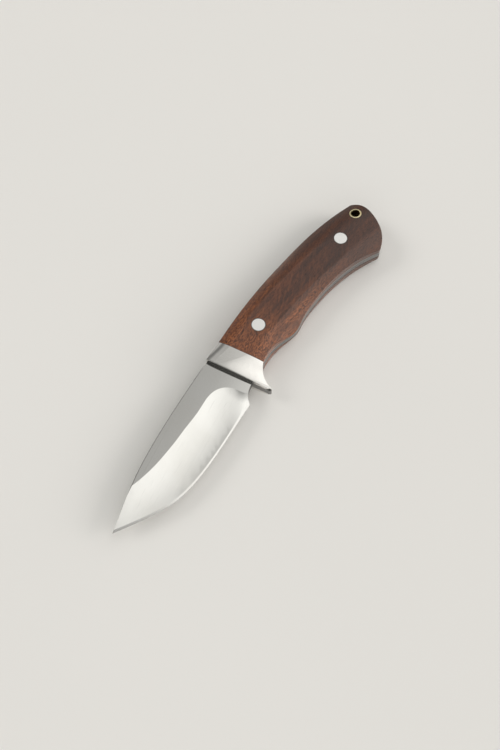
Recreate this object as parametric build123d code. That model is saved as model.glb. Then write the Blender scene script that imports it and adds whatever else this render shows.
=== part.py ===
from build123d import *
import copy
import math
import os

# Full-tang hunting knife: one bar of steel, a pair of bolsters, a pair of wooden scales, pins and a tube.
# It is drawn with X along the knife, the tip toward -X, the spine toward +Y and the cutting edge toward -Y.
# x = 0 is where the bolsters begin on the spine, and z = 0 is the middle plane of the steel.
# At the end every piece is moved, so that the knife lies on its right side and rests on z = 0.

# steel bar
STOCK = 4.0
HALF_STOCK = STOCK / 2
SPINE_BREAK = 0.4

# hollow grind and sharpening bevel, on each side of the blade
WHEEL_RADIUS = 110.0
HALF_BEHIND_EDGE = 0.30
HALF_EDGE_LAND = 0.05
SHARPENED_WIDTH = 0.9
GRIND_SLICES = 14

# bolsters
BOLSTER_WIDTH = 11.0
BOLSTER_SLANT = 3.0
GUARD_LENGTH = 33.9
BOLSTER_PIN_RADIUS = 1.5
BOLSTER_PINS = [(6.0, -6.5), (6.6, -18.5)]

# grip
GRIP_HALF = 7.5
GRIP_EDGE_RADIUS = 0.4
BUTT_CORNER_RADIUS = 2.4
HANDLE_PIN_RADIUS = 3.5
FRONT_PIN = (28.0, -13.0)
REAR_PIN = (92.5, -25.0)
TUBE_OUTER_RADIUS = 3.175
TUBE_INNER_RADIUS = 2.38
TUBE = (110.4, -24.5)

# crown of the grip: its height, where it falls off, and the round shoulders beside its flat
CROWN_SPAN = (-8.0, 124.0)
CROWN_SLICES = 12
CROWN_TOP = 7.6
FRONT_FALL = 2.5
FRONT_FALL_ENDS = 30.0
BUTT_FALL = 0.9
BUTT_FALL_STARTS = 80.0
CROWN_MIDDLE = -11.8
CROWN_DROOP = 0.0018
FLAT_HALF_WIDTH = 5.2
SHOULDER_RADIUS = 13.0
BUTT_SHOULDER_GAIN = 12.0
BUTT_SHOULDER_SPAN = (60.0, 112.0)
GUARD_SHOULDER_RADIUS = 150.0
GUARD_SHOULDER_ENDS = 20.0
GUARD_CROWN_RISE = 6.0
GUARD_FLAT_LOSS = 3.4
GUARD_CROWN_SPAN = (0.0, 16.0)
LONGEST_SHOULDER = 27.0
CROWN_DEPTH = 10.0

# corners of the outline
TIP = (-94.0, -6.2)
HEEL = (-8.6, -29.0)
SPINE_AT_BOLSTER = (0.0, 0.5)
CHOIL_START = (1.25, -24.8)
GUARD_REAR = (3.7, -33.7)
BUTT_BOTTOM = (98.0, -45.3)
BUTT_TOP = (115.2, -19.4)

# a length that reaches past the knife on every side
PAST = 300.0


def curve(*points):
    """A smooth curve through points of the plan."""
    return Spline(*[Vector(x, y) for x, y in points])


def arc(*points):
    """A round arc through three points of the plan."""
    return ThreePointArc(*[Vector(x, y) for x, y in points])


def straight(start, end):
    """A straight line between two points of the plan."""
    return Line(Vector(*start), Vector(*end))


# outline: the steel and the grip share everything behind the bolsters' front face
guard_lean = GUARD_LENGTH * math.tan(math.radians(BOLSTER_SLANT))
GUARD_FRONT = (guard_lean, SPINE_AT_BOLSTER[1] - GUARD_LENGTH)
EDGE_POINTS = [HEEL, (-26, -28.5), (-44, -27.7), (-58, -25.8), (-68, -22.8), (-76, -18.6), (-85, -12.7), TIP]

blade_spine = curve(TIP, (-80, -3.5), (-66, -1.0), (-48, 0.5), (-26, 0.9), SPINE_AT_BOLSTER)
blade_edge = curve(*EDGE_POINTS)
choil = arc(CHOIL_START, (-4.3, -25.7), HEEL)
below_choil = straight(GUARD_FRONT, CHOIL_START)
grip_spine = curve(SPINE_AT_BOLSTER, (18, -0.4), (40, -1.7), (60, -4.1), (80, -7.8), (98.5, -12.8), BUTT_TOP)
butt = curve(BUTT_TOP, (116.9, -25.0), (115.5, -30.4), (111.2, -37.4), (105.0, -42.9), BUTT_BOTTOM)
belly = curve(BUTT_BOTTOM, (86, -38.2), (75, -34.1), (64, -31.4), (54, -30.0), (44, -29.6), (37.2, -29.9),
              (32.8, -28.8), (28.5, -26.8), (23, -24.9), (17, -24.2), (12.2, -24.8), (7.4, -27.6),
              (4.8, -30.8), GUARD_REAR)
quillon = arc(GUARD_REAR, (2.8, -34.7), GUARD_FRONT)
guard_front = straight(GUARD_FRONT, SPINE_AT_BOLSTER)

grip_edges = [grip_spine, butt, belly, quillon, guard_front]
steel_edges = [blade_spine, grip_spine, butt, belly, quillon, below_choil, choil, blade_edge]

# the wheel follows the grind line on the flat of the blade and runs on past the tip
grind_line = curve((-3.3, -26.6), (-4.9, -21.5), (-6.9, -15.4), (-11, -11.0), (-20, -9.8), (-34, -8.9),
                   (-50, -7.4), (-63, -4.9), (-74, -1.0), (-86, 5.0), (-96, 10.5))
edge_guide = curve(*EDGE_POINTS, (-103, 0.3))


def outline(edges):
    """A flat face bounded by the edges, with the two corners of the butt rounded."""
    face = make_face(Wire(edges))
    corners = [corner for corner in face.vertices() if corner.X > REAR_PIN[0]]
    return fillet(corners, BUTT_CORNER_RADIUS)


def slab(bottom, top):
    """A block wider than the knife between two heights."""
    return Pos(0, 0, (bottom + top) / 2) * Box(2 * PAST, 2 * PAST, top - bottom)


def rod(place, radius):
    """A long round rod across the knife at a place of the plan."""
    return Pos(*place, 0) * Cylinder(radius, PAST)


def both_sides(cutter):
    """The pieces of a cutter for the left side and its mirror for the right."""
    return [cutter, mirror(cutter, about=Plane.XY)]


def ease(x, start, end):
    """A smooth step from 0 at start to 1 at end."""
    share = min(max((x - start) / (end - start), 0.0), 1.0)
    return share * share * (3.0 - 2.0 * share)


def shoulder(x, flat_end, direction, radius, top):
    """A round shoulder of the crown, tangent to the flat, as an arc in the cross-section at x."""
    reach = min(0.9 * radius, LONGEST_SHOULDER)
    points = []
    for along in (0.0, 0.6 * reach, reach):
        drop = radius - math.sqrt(radius**2 - along**2)
        points.append(Vector(x, flat_end + direction * along, top - drop))
    return ThreePointArc(*points)


def crown_section(x):
    """The cross-section of the crown at x: a flat on top with a round shoulder to each side."""
    front = 1.0 - ease(x, CROWN_SPAN[0], FRONT_FALL_ENDS)
    rear = ease(x, BUTT_FALL_STARTS, CROWN_SPAN[1])
    near_guard = 1.0 - ease(x, 0.0, GUARD_SHOULDER_ENDS)
    top = CROWN_TOP - FRONT_FALL * front - BUTT_FALL * rear
    at_guard = 1.0 - ease(x, *GUARD_CROWN_SPAN)
    middle = CROWN_MIDDLE - CROWN_DROOP * max(x, 0.0) ** 2 + GUARD_CROWN_RISE * at_guard
    flat_half = FLAT_HALF_WIDTH - GUARD_FLAT_LOSS * at_guard
    spine_radius = SHOULDER_RADIUS + BUTT_SHOULDER_GAIN * ease(x, *BUTT_SHOULDER_SPAN)
    belly_radius = spine_radius + (GUARD_SHOULDER_RADIUS - SHOULDER_RADIUS) * near_guard
    spine_arc = shoulder(x, middle + flat_half, 1, spine_radius, top)
    belly_arc = shoulder(x, middle - flat_half, -1, belly_radius, top)
    spine_foot = Vector(x, (spine_arc @ 1).Y, -CROWN_DEPTH)
    belly_foot = Vector(x, (belly_arc @ 1).Y, -CROWN_DEPTH)
    flat = Line(spine_arc @ 0, belly_arc @ 0)
    belly_wall = Line(belly_arc @ 1, belly_foot)
    base = Line(belly_foot, spine_foot)
    spine_wall = Line(spine_foot, spine_arc @ 1)
    return make_face(Wire([spine_arc, flat, belly_arc, belly_wall, base, spine_wall]))


def crown():
    """The long crowned body that the left side of the grip is ground to."""
    step = (CROWN_SPAN[1] - CROWN_SPAN[0]) / CROWN_SLICES
    return loft([crown_section(CROWN_SPAN[0] + step * i) for i in range(CROWN_SLICES + 1)])


def rim_edges(body, face):
    """The upper edges of a body that follow the outline of a face."""
    rim = face.wires()[0]
    picked = []
    for edge in body.edges():
        middle = edge @ 0.5
        on_rim = rim.distance_to(Vector(middle.X, middle.Y)) < 0.02
        upright = abs((edge @ 0 - edge @ 1).Z) > 0.9 * edge.length
        if on_rim and middle.Z > HALF_STOCK + 0.3 and not upright:
            picked.append(edge)
    return picked


def grip_side():
    """Bolster and scale of the left side as one shape, because they are ground together."""
    face = outline(grip_edges)
    body = extrude(face, PAST) & crown() & slab(HALF_STOCK, GRIP_HALF)
    return fillet(rim_edges(body, face), GRIP_EDGE_RADIUS)


def behind_bolsters():
    """All the space on the butt side of the slanting joint between bolsters and scales."""
    block = Pos(PAST / 2, 0, 0) * Box(PAST, PAST, PAST)
    return Pos(BOLSTER_WIDTH, SPINE_AT_BOLSTER[1], 0) * Rot(0, 0, BOLSTER_SLANT) * block


def grind_half_thickness(share, length):
    """Half the thickness of the blade at a share of the way from the grind line to the edge."""
    hollow = length**2 / (8 * WHEEL_RADIUS)
    straight_taper = HALF_STOCK - (HALF_STOCK - HALF_BEHIND_EDGE) * share
    return straight_taper - 4 * hollow * share * (1 - share)


def grind_section(on_flat, on_edge):
    """A slice of the space that the wheel sweeps, from the grind line to the edge and a little past both."""
    across = on_edge - on_flat
    shares = (-0.1, 0.5, 1.1)
    low = []
    for share in shares:
        low.append(on_flat + across * share + Vector(0, 0, grind_half_thickness(share, across.length)))
    high_far = on_flat + across * shares[2] + Vector(0, 0, STOCK)
    high_near = on_flat + across * shares[0] + Vector(0, 0, STOCK)
    hollow = ThreePointArc(*low)
    return make_face(Wire([hollow, Line(low[2], high_far), Line(high_far, high_near), Line(high_near, low[0])]))


def grind_cutter():
    """The hollow that the wheel leaves on the left side of the blade."""
    shares = [i / GRIND_SLICES for i in range(GRIND_SLICES + 1)]
    return loft([grind_section(grind_line @ share, edge_guide @ share) for share in shares])


def sharpening_cutter():
    """The narrow bevel of the cutting edge on the left side, as a wedge swept along the edge."""
    heading = edge_guide % 0
    lead_in = Line(edge_guide @ 0 - heading * 3 * SHARPENED_WIDTH, edge_guide @ 0)
    outward = Vector(0, 0, 1).cross(heading).normalized()
    slope = (HALF_BEHIND_EDGE - HALF_EDGE_LAND) / SHARPENED_WIDTH

    def spot(reach, height_reach):
        height = HALF_EDGE_LAND - slope * height_reach
        return lead_in @ 0 + outward * reach + Vector(0, 0, height)

    inner = -2 * SHARPENED_WIDTH
    outer = SHARPENED_WIDTH
    wedge = make_face(Polyline(spot(inner, inner), spot(outer, outer), spot(outer, inner), close=True))
    return sweep(wedge, path=Wire([lead_in, edge_guide]))


def break_spine(bar):
    """The bar with the two sharp edges of the blade's spine taken off."""
    picked = []
    for edge in bar.edges():
        middle = edge @ 0.5
        on_spine = blade_spine.distance_to(Vector(middle.X, middle.Y)) < 0.01
        if on_spine and abs(middle.Z) > HALF_STOCK - 0.01:
            picked.append(edge)
    return chamfer(picked, SPINE_BREAK)


def drilled(body, holes):
    """The body with every rod taken out of it."""
    for hole in holes:
        body -= hole
    return body


def make_nodes():
    """Every piece of the knife, by the name of its node."""
    side = grip_side()
    whole_grip = side + mirror(side, about=Plane.XY) + extrude(outline(grip_edges), HALF_STOCK, both=True)
    handle_pins = [rod(place, HANDLE_PIN_RADIUS) for place in (FRONT_PIN, REAR_PIN)]
    bolster_pins = [rod(place, BOLSTER_PIN_RADIUS) for place in BOLSTER_PINS]
    tube_rod = rod(TUBE, TUBE_OUTER_RADIUS)

    steel = break_spine(extrude(outline(steel_edges), HALF_STOCK, both=True))
    steel = drilled(steel, both_sides(grind_cutter()) + both_sides(sharpening_cutter()))
    steel = drilled(steel, handle_pins + bolster_pins + [tube_rod])
    bolster = drilled(side - behind_bolsters(), bolster_pins)
    scale = drilled(side & behind_bolsters(), handle_pins + [tube_rod])

    return {
        "blade_and_tang": steel,
        "bolster_left": bolster,
        "bolster_right": mirror(bolster, about=Plane.XY),
        "bolster_pins": Compound(children=[pin & whole_grip for pin in bolster_pins]),
        "scale_left": scale,
        "scale_right": mirror(scale, about=Plane.XY),
        "handle_pin_front": handle_pins[0] & whole_grip,
        "handle_pin_rear": handle_pins[1] & whole_grip,
        "lanyard_tube": (tube_rod - rod(TUBE, TUBE_INNER_RADIUS)) & whole_grip,
    }


def write_parts():
    """Writes one file per node, with the knife centred over the origin and resting on z = 0."""
    nodes = make_nodes()
    box = Compound(children=[copy.copy(shape) for shape in nodes.values()]).bounding_box()
    home = Pos(-box.center().X, -box.center().Y, -box.min.Z)
    os.makedirs("parts", exist_ok=True)
    for name, shape in nodes.items():
        export_step(home * shape, f"parts/{name}.step")


write_parts()
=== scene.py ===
# %% [markdown]
# # A full-tang hunting knife in Blender
#
# The knife is one bar of steel from tip to butt. Two metal bolsters and two wooden scales are fixed
# to the bar with pins, and a brass tube lines the hole for a lanyard. The shapes are already exact,
# because they come from a CAD model. This lesson gives them their finishes: mirror-polished steel,
# oiled rosewood, satin pins and brass. Every piece keeps the name that it has in the CAD model, and
# every length here is in metres.

# %% Load the frame
import bmesh
import bpy
import math
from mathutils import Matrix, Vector


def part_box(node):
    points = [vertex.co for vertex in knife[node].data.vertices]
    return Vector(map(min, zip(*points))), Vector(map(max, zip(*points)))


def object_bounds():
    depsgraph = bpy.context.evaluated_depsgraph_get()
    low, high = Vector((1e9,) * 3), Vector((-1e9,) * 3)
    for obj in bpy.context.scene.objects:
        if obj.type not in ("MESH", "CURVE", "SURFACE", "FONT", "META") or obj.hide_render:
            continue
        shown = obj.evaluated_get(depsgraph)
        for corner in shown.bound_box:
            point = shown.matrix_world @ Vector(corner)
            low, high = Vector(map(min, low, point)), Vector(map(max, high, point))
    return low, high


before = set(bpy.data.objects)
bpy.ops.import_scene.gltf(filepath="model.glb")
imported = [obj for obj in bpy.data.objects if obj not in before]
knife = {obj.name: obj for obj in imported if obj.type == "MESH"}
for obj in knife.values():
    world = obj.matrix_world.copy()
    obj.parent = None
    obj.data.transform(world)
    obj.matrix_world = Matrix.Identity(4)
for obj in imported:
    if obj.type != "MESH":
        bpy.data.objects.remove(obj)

scene = bpy.context.scene
cad_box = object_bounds()
low, high = cad_box
middle = (low + high) / 2
print("pieces:", sorted(knife))
print("knife measures", [round(1000 * side, 1) for side in high - low], "mm")

# %% [markdown]
# ## The table
#
# The knife lies on its right side on a pale table. The sheet of paper under it is much larger than
# the knife, so that no edge of it shows from the viewpoint. It is one flat grid, because nothing
# about paper is thick enough to see. The sheet is a fifth of a millimetre below the knife, so that
# the two surfaces don't share one level. Its material is below, with the others.

# %% The table top
TABLE_WIDTH = 14.0
TABLE_GAP = 0.0002


def flat_sheet(name, width, height):
    """A level square sheet, centred below the knife."""
    shape = bmesh.new()
    bmesh.ops.create_grid(shape, x_segments=8, y_segments=8, size=width / 2)
    bmesh.ops.translate(shape, vec=(middle.x, middle.y, height), verts=shape.verts)
    mesh = bpy.data.meshes.new(name)
    shape.to_mesh(mesh)
    shape.free()
    piece = bpy.data.objects.new(name, mesh)
    scene.collection.objects.link(piece)
    return piece


table = flat_sheet("table_top", TABLE_WIDTH, low.z - TABLE_GAP)
print("table top is at", round(1000 * (low.z - TABLE_GAP), 2), "mm")

# %% [markdown]
# ## The viewpoint
#
# The viewer stands at the tip's end on the side of the cutting edge and looks down steeply. It is
# simplest to say that as a compass angle, an angle above the table and a distance from a point on
# the knife. The lens is a short portrait lens.

# %% Camera
AIM = middle + Vector((-0.00617, 0.00091, 0.0))
COMPASS = math.radians(-150.2)
ABOVE_TABLE = math.radians(66.0)
DISTANCE = 0.44
LENS = 43.2
SENSOR = 36.0

toward_viewer = Vector((
    math.cos(ABOVE_TABLE) * math.cos(COMPASS),
    math.cos(ABOVE_TABLE) * math.sin(COMPASS),
    math.sin(ABOVE_TABLE),
))
camera_data = bpy.data.cameras.new("viewpoint")
camera_data.sensor_fit = "VERTICAL"
camera_data.sensor_height = SENSOR
camera_data.lens = LENS
camera_data.clip_start = 0.01
camera = bpy.data.objects.new("viewpoint", camera_data)
camera.location = AIM + DISTANCE * toward_viewer
camera.rotation_euler = (-toward_viewer).to_track_quat("-Z", "Y").to_euler()
scene.collection.objects.link(camera)
scene.camera = camera
print("camera at", [round(1000 * side) for side in camera.location], "mm")

# %% [markdown]
# ## The light
#
# Polished steel has no colour of its own: it shows the room. One wide white diffuser hangs over the
# table and ends just where the flat of the blade would mirror it. The hollow of the blade then
# mirrors the bright diffuser and the flat mirrors the grey ceiling beside it, so the grind line
# shows.
#
# The whole room is made in the world shader, from the direction of each ray. A ray that goes up
# hits a flat ceiling, and where it hits is its sideways part divided by its upward part. That gives
# a ceiling plan. A short list of light levels across the plan and another along it are multiplied.
# The bright levels across are the diffuser. The dark levels along, toward the tip, are what the
# front of the bolster mirrors.
#
# These levels are not measured from a real room. They were chosen so that the metal looks right
# from the viewpoint, and from other sides it can look darker or brighter than it should.

# %% Helpers for shader nodes
scene.view_settings.view_transform = "Standard"


def add(tree, kind, **settings):
    """A new shader node with its settings, and with numbers or colours for its inputs by name."""
    node = tree.nodes.new(kind)
    for key, value in settings.items():
        if key in node.inputs and not hasattr(type(node), key):
            node.inputs[key].default_value = value
        else:
            setattr(node, key, value)
    return node


def feed(tree, source, node, name):
    """Joins an output to an input, or sets the input if the source is a plain value."""
    if isinstance(source, bpy.types.NodeSocket):
        tree.links.new(source, node.inputs[name])
    else:
        node.inputs[name].default_value = source


def calc(tree, operation, first, second=0.0, third=0.0):
    """The result of one sum on one, two or three values."""
    node = add(tree, "ShaderNodeMath", operation=operation)
    for index, value in enumerate((first, second, third)):
        feed(tree, value, node, index)
    return node.outputs[0]


def step(tree, value, start, end, low_value=0.0, high_value=1.0):
    """A smooth step: low_value before start, high_value after end."""
    node = add(tree, "ShaderNodeMapRange", interpolation_type="SMOOTHSTEP")
    feed(tree, value, node, "Value")
    feed(tree, start, node, "From Min")
    feed(tree, end, node, "From Max")
    feed(tree, low_value, node, "To Min")
    feed(tree, high_value, node, "To Max")
    return node.outputs["Result"]


def blend(tree, share, first, second, kind="MIX"):
    """Two colours blended by a share from 0 to 1."""
    node = add(tree, "ShaderNodeMix", data_type="RGBA", blend_type=kind)
    feed(tree, share, node, 0)
    feed(tree, first, node, 6)
    feed(tree, second, node, 7)
    return node.outputs[2]


# %% The room
ACROSS_ROOM = [(-1.5, 1.50), (-1.0, 1.10), (-0.55, 1.22), (-0.15, 1.30), (0.0, 1.18), (0.10, 1.03),
               (0.205, 0.82), (0.25, 0.50), (0.30, 0.47), (0.60, 0.48), (0.85, 0.22), (1.1, 0.20),
               (1.5, 0.50)]
ALONG_ROOM = [(-1.5, 0.90), (-0.95, 0.70), (-0.58, 0.07), (-0.30, 0.11), (0.08, 1.0), (1.10, 1.0),
              (1.5, 0.80)]
BACKDROP_LIGHT = 0.80
ROOM_COLOUR = (1.0, 0.99, 0.955, 1.0)


def dimmer(tree, value, stops):
    """A light level that goes straight from stop to stop, each a place in the ceiling plan and its level."""
    reach = 1.5
    node = add(tree, "ShaderNodeValToRGB")
    spots = node.color_ramp.elements
    while len(spots) < len(stops):
        spots.new(0.5)
    for spot, (where, level) in zip(spots, stops):
        spot.position = (where + reach) / (2 * reach)
        spot.color = (level / 2, level / 2, level / 2, 1.0)
    feed(tree, calc(tree, "DIVIDE", calc(tree, "ADD", value, reach), 2 * reach), node, "Fac")
    return calc(tree, "MULTIPLY", node.outputs["Color"], 2.0)


room = bpy.data.worlds.new("studio_room")
scene.world = room
room.use_nodes = True
tree = room.node_tree
tree.nodes.clear()
split = add(tree, "ShaderNodeSeparateXYZ")
feed(tree, add(tree, "ShaderNodeTexCoord").outputs["Generated"], split, 0)
upward = calc(tree, "MAXIMUM", split.outputs["Z"], 0.001)
across = dimmer(tree, calc(tree, "DIVIDE", split.outputs["Y"], upward), ACROSS_ROOM)
along = dimmer(tree, calc(tree, "DIVIDE", split.outputs["X"], upward), ALONG_ROOM)
lit = calc(tree, "MULTIPLY", across, along)
seen = add(tree, "ShaderNodeLightPath").outputs["Is Camera Ray"]
shown = add(tree, "ShaderNodeMix", data_type="FLOAT")
feed(tree, seen, shown, 0)
feed(tree, lit, shown, 2)
feed(tree, BACKDROP_LIGHT, shown, 3)
background = add(tree, "ShaderNodeBackground")
background.inputs["Color"].default_value = ROOM_COLOUR
feed(tree, shown.outputs[0], background, "Strength")
ending = add(tree, "ShaderNodeOutputWorld")
feed(tree, background.outputs[0], ending, "Surface")
print("the ceiling plan has", len(ACROSS_ROOM), "light levels across and", len(ALONG_ROOM), "along")

# %% [markdown]
# Two lamps help the room. A stronger one shines from the cutting-edge side and a weaker one from
# behind the spine. They light only what is not a mirror, mostly the wood and the table, and
# reflections don't show them. Both are far away, so the light is even over the whole table and
# leaves no bright pool on it.

# %% Lamps
LAMP_SPREAD = 0.5


def soft_lamp(name, direction, strength, colour):
    """A far-off wide lamp that shines on the knife from a direction and isn't seen itself."""
    data = bpy.data.lights.new(name, "SUN")
    data.angle = LAMP_SPREAD
    data.energy = strength
    data.color = colour
    lamp = bpy.data.objects.new(name, data)
    lamp.rotation_euler = Vector(direction).to_track_quat("Z", "Y").to_euler()
    lamp.visible_camera = False
    lamp.visible_glossy = False
    scene.collection.objects.link(lamp)
    return lamp


soft_lamp("edge_side_lamp", (0.45, -0.85, 0.42), 1.02, (1.0, 0.93, 0.90))
soft_lamp("spine_side_lamp", (-0.3, 0.9, 0.8), 0.64, (1.0, 0.97, 0.93))

# %% [markdown]
# ## Effects that several finishes share
#
# Real metal and wood are never perfectly even. Three effects turn up in more than one finish here,
# so each is built once as a node group. The groups put out masks only, and each material decides
# what a mask does.
#
# - *polishing lines* are the fine parallel scratches that a belt or a buffing wheel leaves. Noise
#   that is stretched far along one direction looks like them.
# - *handling haze* is the faint cloudiness of fingers and oil. It is soft noise in large patches.
# - *ring* is a thin circle around a pin, where glue and polishing compound collect in the joint.

# %% Polishing lines
def new_group(name, inputs, outputs):
    """An empty node group with named inputs and outputs, and its two end nodes."""
    group = bpy.data.node_groups.new(name, "ShaderNodeTree")
    for label, kind, value in inputs:
        socket = group.interface.new_socket(label, in_out="INPUT", socket_type="NodeSocket" + kind)
        if value is not None:
            socket.default_value = value
    for label, kind in outputs:
        group.interface.new_socket(label, in_out="OUTPUT", socket_type="NodeSocket" + kind)
    start = group.nodes.new("NodeGroupInput")
    end = group.nodes.new("NodeGroupOutput")
    return group, start.outputs, end


def noise(tree, vector, scale, detail=2.0, rough=0.5):
    """Soft three-dimensional noise from 0 to 1."""
    node = add(tree, "ShaderNodeTexNoise", noise_dimensions="3D")
    feed(tree, vector, node, "Vector")
    feed(tree, scale, node, "Scale")
    feed(tree, detail, node, "Detail")
    feed(tree, rough, node, "Roughness")
    return node.outputs["Fac"]


lines, into, out = new_group(
    "polishing lines",
    [("Vector", "Vector", None), ("Length", "Float", 0.01), ("Width", "Float", 0.0002)],
    [("Lines", "Float"), ("Deep Lines", "Float")],
)
stretch = add(lines, "ShaderNodeCombineXYZ")
feed(lines, calc(lines, "DIVIDE", 1.0, into["Length"]), stretch, "X")
feed(lines, calc(lines, "DIVIDE", 1.0, into["Width"]), stretch, "Y")
feed(lines, calc(lines, "DIVIDE", 1.0, into["Width"]), stretch, "Z")
stretched = add(lines, "ShaderNodeVectorMath", operation="MULTIPLY")
feed(lines, into["Vector"], stretched, 0)
feed(lines, stretch.outputs[0], stretched, 1)
fine = noise(lines, stretched.outputs[0], 1.0, 3.0, 0.6)
coarse = noise(lines, stretched.outputs[0], 0.31, 1.0, 0.5)
feed(lines, step(lines, fine, 0.30, 0.70), out, "Lines")
feed(lines, step(lines, coarse, 0.64, 0.74), out, "Deep Lines")
print("made the group", lines.name)

# %% Handling haze
haze, into, out = new_group(
    "handling haze",
    [("Vector", "Vector", None), ("Patch", "Float", 0.02)],
    [("Haze", "Float")],
)
patches = noise(haze, into["Vector"], calc(haze, "DIVIDE", 1.0, into["Patch"]), 4.0, 0.55)
feed(haze, step(haze, patches, 0.42, 0.68), out, "Haze")
print("made the group", haze.name)

# %% Ring around a pin
ring, into, out = new_group(
    "ring",
    [("Vector", "Vector", None), ("Centre", "Vector", None),
     ("Radius", "Float", 0.0035), ("Width", "Float", 0.0002)],
    [("Ring", "Float"), ("Away", "Float")],
)
offset = add(ring, "ShaderNodeVectorMath", operation="SUBTRACT")
feed(ring, into["Vector"], offset, 0)
feed(ring, into["Centre"], offset, 1)
flat = add(ring, "ShaderNodeVectorMath", operation="MULTIPLY")
feed(ring, offset.outputs[0], flat, 0)
flat.inputs[1].default_value = (1.0, 1.0, 0.0)
away = add(ring, "ShaderNodeVectorMath", operation="LENGTH")
feed(ring, flat.outputs[0], away, 0)
distance = away.outputs["Value"]
off_ring = calc(ring, "ABSOLUTE", calc(ring, "SUBTRACT", distance, into["Radius"]))
share = calc(ring, "DIVIDE", off_ring, into["Width"])
feed(ring, step(ring, share, 0.35, 1.0, 1.0, 0.0), out, "Ring")
feed(ring, distance, out, "Away")
print("made the group", ring.name)

# %% [markdown]
# ## Starting a finish
#
# Each finish is one Principled shader. The pattern is laid out on Object coordinates, which are the
# same as the metres of the frame, because every piece stands at the origin. A line a tenth of a
# millimetre wide is then simply 0.0001.

# %% A finish and its coordinates


def new_finish(name):
    """A material with a Principled shader, and the Object coordinates to lay a pattern on."""
    material = bpy.data.materials.new(name)
    material.use_nodes = True
    tree = material.node_tree
    tree.nodes.clear()
    shader = add(tree, "ShaderNodeBsdfPrincipled")
    output = add(tree, "ShaderNodeOutputMaterial")
    tree.links.new(shader.outputs[0], output.inputs["Surface"])
    place = add(tree, "ShaderNodeTexCoord").outputs["Object"]
    return material, tree, shader, place


def use(tree, group, **values):
    """A shared effect placed in a material with its own values."""
    node = add(tree, "ShaderNodeGroup", node_tree=group)
    for label, value in values.items():
        feed(tree, value, node, label.replace("_", " "))
    return node.outputs


def turned(tree, place, degrees):
    """Coordinates turned about the vertical."""
    node = add(tree, "ShaderNodeMapping", vector_type="TEXTURE")
    feed(tree, place, node, "Vector")
    node.inputs["Rotation"].default_value = (0.0, 0.0, math.radians(degrees))
    return node.outputs[0]


def bump(tree, height, depth):
    """A surface normal from a height map whose full range is depth metres."""
    node = add(tree, "ShaderNodeBump")
    node.inputs["Strength"].default_value = 1.0
    node.inputs["Distance"].default_value = depth
    feed(tree, height, node, "Height")
    return node.outputs[0]


def pile(tree, start, *layers):
    """A level that starts at one value and rises by a share of each mask."""
    level = start
    for mask, share in layers:
        level = calc(tree, "MULTIPLY_ADD", mask, share, level)
    return level


def dress(material, *names):
    """Puts a finish on every slot of the named CAD pieces."""
    for name in names:
        for slot in knife[name].material_slots:
            slot.material = material


# %% [markdown]
# ## Mirror-polished blade steel
#
# The blade is steel, ground hollow on a wheel and then buffed until it mirrors the room. Up close
# it still has very fine lines along the blade, a little haze from handling, and a narrow sharpened
# bevel with coarser lines across it. The bevel can be found without a mask image. Ahead of the
# heel, it is where the normal leans between about 14 and 18 degrees. The edge of the tang was only
# sanded, so it is satin. Its dark grey tone and the spine chamfer's are a painted dark reflection.

# %% Blade steel
STEEL = (0.76, 0.755, 0.735, 1.0)
HAZY_STEEL = (0.70, 0.69, 0.66, 1.0)
SCRATCHED_STEEL = (0.62, 0.61, 0.59, 1.0)
# painted reflection: a dark grey for the tang edge and spine chamfer, standing in for a dark surface they
# mirror
PAINTED_REFLECTION_DARK_STEEL = (0.27, 0.265, 0.26, 1.0)
BEVEL_LEAN = (0.952, 0.958, 0.968, 0.972)
BEVEL_STARTS = (-0.0205, -0.0195)
EDGE_LEAN = (0.72, 0.80)
LINE_DEPTH = 0.0000012
steel, tree, shader, place = new_finish("mirror_steel")
buffed = use(tree, lines, Vector=turned(tree, place, 4.0), Length=0.030, Width=0.00012)
across_lines = use(tree, lines, Vector=turned(tree, place, 90.0), Length=0.012, Width=0.00007)
touched = use(tree, haze, Vector=place, Patch=0.024)

normal = add(tree, "ShaderNodeSeparateXYZ")
feed(tree, add(tree, "ShaderNodeTexCoord").outputs["Normal"], normal, 0)
lean = calc(tree, "ABSOLUTE", normal.outputs["Z"])
steep_enough = step(tree, lean, BEVEL_LEAN[2], BEVEL_LEAN[3], 1.0, 0.0)
not_too_steep = step(tree, lean, BEVEL_LEAN[0], BEVEL_LEAN[1])
heel_side = add(tree, "ShaderNodeSeparateXYZ")
feed(tree, place, heel_side, 0)
ahead_of_heel = step(tree, heel_side.outputs["X"], *BEVEL_STARTS, 1.0, 0.0)
sharpened = calc(tree, "MULTIPLY", calc(tree, "MULTIPLY", steep_enough, not_too_steep), ahead_of_heel)
# the tang edge and spine chamfer: satin, and painted dark as a painted reflection
satin_and_painted_dark_edges = step(tree, lean, *EDGE_LEAN, 1.0, 0.0)

polish = pile(
    tree, 0.045,
    (touched["Haze"], 0.025),
    (buffed["Lines"], 0.030),
    (buffed["Deep Lines"], 0.05),
    (sharpened, 0.12),
    (satin_and_painted_dark_edges, 0.30),
)
feed(tree, polish, shader, "Roughness")
cloudy = calc(tree, "MULTIPLY", touched["Haze"], 0.5)
tone = blend(tree, cloudy, STEEL, HAZY_STEEL)
tone = blend(tree, calc(tree, "MULTIPLY", buffed["Deep Lines"], 0.35), tone, SCRATCHED_STEEL)
# painted reflection: the upright edges and the spine chamfer are darkened here
tone = blend(tree, satin_and_painted_dark_edges, tone, PAINTED_REFLECTION_DARK_STEEL)
feed(tree, tone, shader, "Base Color")
shader.inputs["Metallic"].default_value = 1.0
ridges = calc(tree, "MULTIPLY", across_lines["Lines"], sharpened)
grain = calc(tree, "ADD", calc(tree, "MULTIPLY", buffed["Lines"], 0.10), ridges)
feed(tree, bump(tree, grain, LINE_DEPTH), shader, "Normal")
dress(steel, "blade_and_tang")
print("dressed the blade in", steel.name)

# %% [markdown]
# ## Bolster metal
#
# The bolsters are soldered or pinned on as blocks, then ground and buffed together with the wood.
# The buffing follows the short way across the handle, so the faint lines turn with it.

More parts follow.
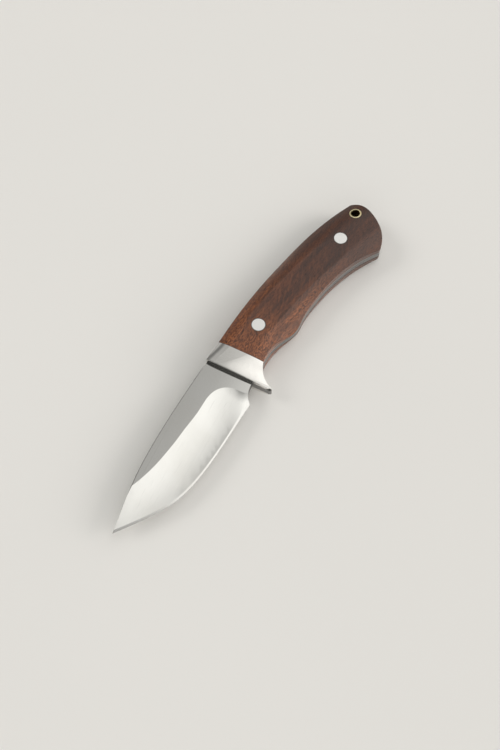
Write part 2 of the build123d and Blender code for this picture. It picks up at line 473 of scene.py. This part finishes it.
# %% Bolsters
BOLSTER_BRIGHT = (0.80, 0.785, 0.76, 1.0)
BOLSTER_HAZY = (0.73, 0.715, 0.69, 1.0)
bolster_finish, tree, shader, place = new_finish("buffed_bolster")
buffed = use(tree, lines, Vector=turned(tree, place, 87.0), Length=0.018, Width=0.00014)
touched = use(tree, haze, Vector=place, Patch=0.010)
polish = pile(
    tree, 0.06,
    (touched["Haze"], 0.05),
    (buffed["Lines"], 0.035),
    (buffed["Deep Lines"], 0.06),
)
feed(tree, polish, shader, "Roughness")
tone = blend(tree, calc(tree, "MULTIPLY", touched["Haze"], 0.6), BOLSTER_BRIGHT, BOLSTER_HAZY)
feed(tree, tone, shader, "Base Color")
shader.inputs["Metallic"].default_value = 1.0
grain = calc(tree, "MULTIPLY", buffed["Lines"], 0.15)
feed(tree, bump(tree, grain, LINE_DEPTH), shader, "Normal")
dress(bolster_finish, "bolster_left", "bolster_right")
print("dressed the bolsters in", bolster_finish.name)

# %% [markdown]
# ## Pins
#
# The bolster pins are of the bolsters' own metal, hammered in and buffed with it, so they all but
# vanish. The handle pins are thicker, and sanding with the wood leaves them satin: very bright but
# not a mirror, with fine lines and a dark thread of glue around them.

# %% Bolster pins
peened, tree, shader, place = new_finish("peened_pin")
buffed = use(tree, lines, Vector=turned(tree, place, 80.0), Length=0.012, Width=0.00014)
touched = use(tree, haze, Vector=place, Patch=0.010)
polish = pile(tree, 0.06, (touched["Haze"], 0.05), (buffed["Lines"], 0.035))
feed(tree, polish, shader, "Roughness")
tone = blend(tree, calc(tree, "MULTIPLY", touched["Haze"], 0.6), BOLSTER_BRIGHT, BOLSTER_HAZY)
feed(tree, tone, shader, "Base Color")
shader.inputs["Metallic"].default_value = 1.0
feed(tree, bump(tree, calc(tree, "MULTIPLY", buffed["Lines"], 0.15), LINE_DEPTH), shader, "Normal")
dress(peened, "bolster_pins")
print("dressed the bolster pins in", peened.name)

# %% Handle pins
PIN_METAL = (0.98, 0.975, 0.96, 1.0)
PIN_METAL_BRIGHT = (1.0, 0.998, 0.985, 1.0)
PIN_RIM = (0.10, 0.085, 0.07, 1.0)
GLUE_WIDTH = 0.00034
SANDING_DEPTH = 0.000004


def pin_centre(name):
    """The middle of a pin or of the tube."""
    pin_low, pin_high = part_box(name)
    return (pin_low + pin_high) / 2


front_centre = pin_centre("handle_pin_front")
rear_centre = pin_centre("handle_pin_rear")
tube_centre = pin_centre("lanyard_tube")
pin_low, pin_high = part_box("handle_pin_front")
HANDLE_PIN_RADIUS = (pin_high.x - pin_low.x) / 2
tube_low, tube_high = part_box("lanyard_tube")
TUBE_RADIUS = (tube_high.x - tube_low.x) / 2
print("handle pins are", round(2000 * HANDLE_PIN_RADIUS, 2), "mm thick")

satin, tree, shader, place = new_finish("satin_pin")
sanded = use(tree, lines, Vector=turned(tree, place, 12.0), Length=0.006, Width=0.00009)
touched = use(tree, haze, Vector=place, Patch=0.004)
rim_front = use(tree, ring, Vector=place, Centre=front_centre, Radius=HANDLE_PIN_RADIUS, Width=GLUE_WIDTH)
rim_rear = use(tree, ring, Vector=place, Centre=rear_centre, Radius=HANDLE_PIN_RADIUS, Width=GLUE_WIDTH)
rim = calc(tree, "MAXIMUM", rim_front["Ring"], rim_rear["Ring"])
polish = pile(tree, 0.40, (touched["Haze"], 0.08), (sanded["Lines"], 0.07))
feed(tree, polish, shader, "Roughness")
tone = blend(tree, sanded["Lines"], PIN_METAL, PIN_METAL_BRIGHT)
tone = blend(tree, calc(tree, "MULTIPLY", rim, 0.8), tone, PIN_RIM)
feed(tree, tone, shader, "Base Color")
shader.inputs["Metallic"].default_value = 1.0
feed(tree, bump(tree, calc(tree, "SUBTRACT", sanded["Lines"], rim), SANDING_DEPTH), shader, "Normal")
dress(satin, "handle_pin_front", "handle_pin_rear")
print("dressed the handle pins in", satin.name)

# %% [markdown]
# ## Brass tube
#
# The tube is cut from brass pipe and its ends are sanded with the wood, so the rim is bright gold.
# Inside, the wall is rougher and painted dark brown, a painted shade of the deep, narrow hole. How far
# a point is from the middle of the tube tells which of the two it is.

# %% Lanyard tube
BRASS = (1.0, 0.88, 0.56, 1.0)
HAZY_BRASS = (1.0, 0.82, 0.46, 1.0)
BORE_SHADE_BROWN = (0.20, 0.115, 0.045, 1.0)
TUBE_JOINT = (0.06, 0.035, 0.02, 1.0)
BORE_EDGE = (0.00238, 0.00242)
brass, tree, shader, place = new_finish("lanyard_brass")
sanded = use(tree, lines, Vector=turned(tree, place, 35.0), Length=0.004, Width=0.00008)
touched = use(tree, haze, Vector=place, Patch=0.003)
wall = use(tree, ring, Vector=place, Centre=tube_centre, Radius=TUBE_RADIUS, Width=0.00006)
inner = step(tree, wall["Away"], *BORE_EDGE, 1.0, 0.0)
bright = blend(tree, touched["Haze"], BRASS, HAZY_BRASS)
# painted shade: the inside of the bore is painted dark brown
tone = blend(tree, inner, bright, BORE_SHADE_BROWN)
tone = blend(tree, calc(tree, "MULTIPLY", wall["Ring"], 0.8), tone, TUBE_JOINT)
feed(tree, tone, shader, "Base Color")
polish = pile(tree, 0.36, (sanded["Lines"], 0.08), (inner, 0.15))
feed(tree, polish, shader, "Roughness")
shader.inputs["Metallic"].default_value = 1.0
feed(tree, bump(tree, calc(tree, "SUBTRACT", sanded["Lines"], wall["Ring"]), SANDING_DEPTH), shader, "Normal")
dress(brass, "lanyard_tube")
print("dressed the tube in", brass.name)

# %% [markdown]
# ## Rosewood scales
#
# The scales are a dense tropical wood, oiled and buffed. What the eye reads as this wood is several
# layers, each at its own scale:
#
# 1. wide streaks along the handle, from orange-brown to dark red-brown, that wander a little
# 2. a drift in colour from orange at the bolster to dark brown at the butt; painted light also makes
#    the rounded sides a lighter orange than the crown's middle
# 3. dark flecks of about a millimetre, thick near the bolster and along the two sides
# 4. pores: short dark slots a tenth of a millimetre wide, in line with the grain
# 5. a faint ripple across the grain, drawn as a lighter tone
#
# Each layer is noise with its own stretch. They are stacked from the largest to the smallest.

# %% Wood colour
ORANGE = (0.33, 0.108, 0.038, 1.0)
WARM_BROWN = (0.150, 0.048, 0.021, 1.0)
DARK_BROWN = (0.048, 0.020, 0.013, 1.0)
BUTT_BROWN = (0.045, 0.021, 0.015, 1.0)
FLECK_BROWN = (0.026, 0.012, 0.009, 1.0)
NEAR_BLACK = (0.012, 0.006, 0.005, 1.0)
CROWN_BEND = -1.8
CROWN_START = 0.0103

wood, tree, shader, place = new_finish("oiled_rosewood")


def stretched_noise(tree, place, length, width, detail=2.0, rough=0.5):
    """Noise whose blobs are about length metres along the handle and width metres across it."""
    node = add(tree, "ShaderNodeMapping", vector_type="TEXTURE")
    feed(tree, place, node, "Vector")
    node.inputs["Scale"].default_value = (length, width, width)
    return noise(tree, node.outputs[0], 1.0, detail, rough)


wander = add(tree, "ShaderNodeTexNoise", noise_dimensions="3D")
feed(tree, place, wander, "Vector")
feed(tree, 28.0, wander, "Scale")
feed(tree, 1.0, wander, "Detail")
push = add(tree, "ShaderNodeVectorMath", operation="MULTIPLY")
feed(tree, wander.outputs["Color"], push, 0)
push.inputs[1].default_value = (0.0, 0.009, 0.009)
wandering = add(tree, "ShaderNodeVectorMath", operation="ADD")
feed(tree, turned(tree, place, -9.0), wandering, 0)
feed(tree, push.outputs[0], wandering, 1)
grain_place = wandering.outputs[0]

# where on the scale a point is: how far toward the butt, and how far to the side of the crown's curved
# middle, which places the painted light on the rounded sides
spot = add(tree, "ShaderNodeSeparateXYZ")
feed(tree, place, spot, 0)
toward_butt = step(tree, spot.outputs["X"], 0.010, 0.090)
near_bolster = step(tree, spot.outputs["X"], 0.006, 0.036, 1.0, 0.0)
from_bolster = calc(tree, "ADD", spot.outputs["X"], 0.0115)
crown_line = calc(
    tree, "MULTIPLY_ADD",
    calc(tree, "MULTIPLY", from_bolster, from_bolster), CROWN_BEND, CROWN_START,
)
off_crown = calc(tree, "ABSOLUTE", calc(tree, "SUBTRACT", spot.outputs["Y"], crown_line))
painted_light_beside_crown = step(tree, off_crown, 0.004, 0.010)

streaks = stretched_noise(tree, grain_place, 0.060, 0.0050, 3.0, 0.55)
fine_streaks = stretched_noise(tree, grain_place, 0.022, 0.0008, 3.0, 0.6)
patches = stretched_noise(tree, grain_place, 0.016, 0.0050, 2.0, 0.5)
flecks = stretched_noise(tree, grain_place, 0.0016, 0.00046, 3.0, 0.7)
pores = stretched_noise(tree, grain_place, 0.0022, 0.00026, 1.0, 0.5)
ripple = stretched_noise(tree, turned(tree, place, 20.0), 0.0060, 0.0009, 3.0, 0.6)

tone = blend(tree, step(tree, streaks, 0.38, 0.62), WARM_BROWN, DARK_BROWN)
# painted light: the rounded sides are painted a lighter orange than the crown's middle; the orange near the
# bolster is part of the same mask
orange_and_painted_side_light = calc(tree, "MAXIMUM", near_bolster, calc(tree, "MULTIPLY", painted_light_beside_crown, 0.85))
orange_and_painted_side_light = calc(tree, "MULTIPLY", orange_and_painted_side_light, step(tree, toward_butt, 0.3, 1.0, 1.0, 0.25))
orange_and_painted_side_light = calc(tree, "MULTIPLY", orange_and_painted_side_light, step(tree, patches, 0.30, 0.60, 0.35, 1.0))
tone = blend(tree, orange_and_painted_side_light, tone, ORANGE)
tone = blend(tree, calc(tree, "MULTIPLY", step(tree, fine_streaks, 0.45, 0.70), 0.55), tone, DARK_BROWN)
tone = blend(tree, calc(tree, "MULTIPLY", toward_butt, 0.60), tone, BUTT_BROWN)
fleck_share = step(tree, flecks, 0.46, 0.56)
fleck_strength = calc(tree, "MULTIPLY_ADD", orange_and_painted_side_light, 0.55, 0.35)
tone = blend(tree, calc(tree, "MULTIPLY", fleck_share, fleck_strength), tone, FLECK_BROWN)
pore_share = step(tree, pores, 0.60, 0.70)
tone = blend(tree, calc(tree, "MULTIPLY", pore_share, 0.75), tone, NEAR_BLACK)
ripple_strength = calc(tree, "MULTIPLY_ADD", toward_butt, -0.15, 0.22)
tone = blend(tree, calc(tree, "MULTIPLY", step(tree, ripple, 0.48, 0.66), ripple_strength), tone, ORANGE)
print("stacked the colours of the wood")

# %% [markdown]
# Around each pin the joint is filled with glue that has gone dark. The ring effect draws it on the
# wood, a little outside the pin.

# %% Wood finish
scale_low, scale_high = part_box("scale_left")
JOINT_SLANT = math.radians(3.0)
glue = calc(
    tree, "MAXIMUM",
    use(tree, ring, Vector=place, Centre=front_centre, Radius=HANDLE_PIN_RADIUS, Width=GLUE_WIDTH)["Ring"],
    use(tree, ring, Vector=place, Centre=rear_centre, Radius=HANDLE_PIN_RADIUS, Width=GLUE_WIDTH)["Ring"],
)
glue = calc(
    tree, "MAXIMUM", glue,
    use(tree, ring, Vector=place, Centre=tube_centre, Radius=TUBE_RADIUS, Width=0.00030)["Ring"],
)
joint = add(tree, "ShaderNodeVectorMath", operation="SUBTRACT")
feed(tree, place, joint, 0)
joint.inputs[1].default_value = (scale_low.x, scale_high.y, 0.0)
behind_joint = add(tree, "ShaderNodeVectorMath", operation="DOT_PRODUCT")
feed(tree, joint.outputs[0], behind_joint, 0)
behind_joint.inputs[1].default_value = (math.cos(JOINT_SLANT), math.sin(JOINT_SLANT), 0.0)
glue = calc(tree, "MAXIMUM", glue, step(tree, behind_joint.outputs["Value"], 0.00008, 0.00026, 1.0, 0.0))
tone = blend(tree, calc(tree, "MULTIPLY", glue, 0.9), tone, NEAR_BLACK)
feed(tree, tone, shader, "Base Color")
touched = use(tree, haze, Vector=place, Patch=0.018)
polish = pile(tree, 0.34, (touched["Haze"], 0.10), (pore_share, 0.25))
feed(tree, polish, shader, "Roughness")
dents = calc(tree, "MULTIPLY_ADD", pore_share, -1.0, calc(tree, "MULTIPLY", fine_streaks, 0.35))
dents = calc(tree, "SUBTRACT", dents, glue)
feed(tree, bump(tree, dents, 0.000018), shader, "Normal")
shader.inputs["Specular IOR Level"].default_value = 0.35
shader.inputs["Coat Weight"].default_value = 0.75
shader.inputs["Coat Roughness"].default_value = 0.27
shader.inputs["Coat IOR"].default_value = 1.45
dress(wood, "scale_left", "scale_right")
print("dressed the scales in", wood.name)

# %% [markdown]
# ## Paper on the table
#
# Paper is pale and matt. A very soft change of tone and a fine tooth keep it from looking like
# plastic.

# %% Paper
PAPER = (0.84, 0.835, 0.815, 1.0)
SHADED_PAPER = (0.80, 0.795, 0.775, 1.0)
paper, tree, shader, place = new_finish("pale_paper")
cloud = noise(tree, place, 3.0, 2.0)
tooth = noise(tree, place, 900.0, 2.0)
feed(tree, blend(tree, cloud, PAPER, SHADED_PAPER), shader, "Base Color")
shader.inputs["Roughness"].default_value = 0.9
shader.inputs["Specular IOR Level"].default_value = 0.1
feed(tree, bump(tree, tooth, 0.00002), shader, "Normal")
table.data.materials.append(paper)
print("laid", paper.name, "on the table")
